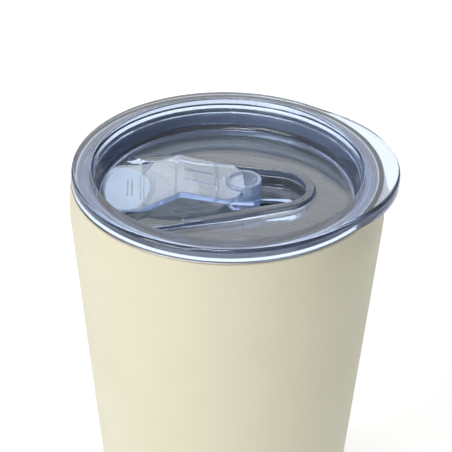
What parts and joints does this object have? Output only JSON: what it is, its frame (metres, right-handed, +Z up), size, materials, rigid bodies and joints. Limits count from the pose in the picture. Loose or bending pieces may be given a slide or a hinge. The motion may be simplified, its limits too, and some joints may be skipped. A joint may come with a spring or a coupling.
{
  "type": "insulated tumbler with lid",
  "caption": "Tapered vacuum-insulated steel tumbler with a clear push-in lid, lift tab and a slide-open drinking hole.",
  "frame": {"origin": "centre of the foot pad's underside", "axes": "+Z up along the cup's axis, +X towards the lid's lift tab, so the drinking hole lies on the -X side"},
  "size_m": [0.0903, 0.0868, 0.175],
  "materials": {
    "coated_shell": "fine matte cream powder coat on steel",
    "liner_steel": "satin stainless, brushed round the cup, polished rim",
    "base_steel": "pressed stainless, dull",
    "copper_foil": "thin crinkled copper foil",
    "getter": "pressed grey powder",
    "clip_steel": "plain strip steel",
    "solder": "smooth dull solder",
    "disc_steel": "stainless with a fine round brushing",
    "foot_silicone": "matte cream silicone",
    "clear_lid": "clear moulded plastic with a blue edge tint",
    "clear_silicone": "translucent silicone",
    "clear_slider": "clear moulded plastic, faintly blue",
    "seal_silicone": "frosted silicone"
  },
  "bodies": {
    "tumbler": {"outer_shell": "coated_shell", "inner_liner": "liner_steel", "outer_bottom": "base_steel", "heat_foil": "copper_foil", "getter_pellet": "getter", "getter_clip": "clip_steel", "vacuum_plug": "solder", "base_disc": "disc_steel", "foot_pad": "foot_silicone"},
    "lid_seal": {"lid_gasket": "clear_silicone"},
    "lid": {"lid_body": "clear_lid"},
    "slider": {"slider": "clear_slider", "slider_seal": "seal_silicone"}
  },
  "joints": [
    {"name": "lid_lift", "type": "slide", "parent": "tumbler", "child": "lid_seal", "axis": [0, 0, 1], "range_m": [0, 0.05]},
    {"name": "lid_turn", "type": "hinge", "parent": "lid_seal", "child": "lid", "pos_m": [0, 0, 0.17], "axis": [0, 0, 1], "continuous": true},
    {"name": "slider_slide", "type": "slide", "parent": "lid", "child": "slider", "axis": [1, 0, 0], "range_m": [0, 0.012]}
  ]
}
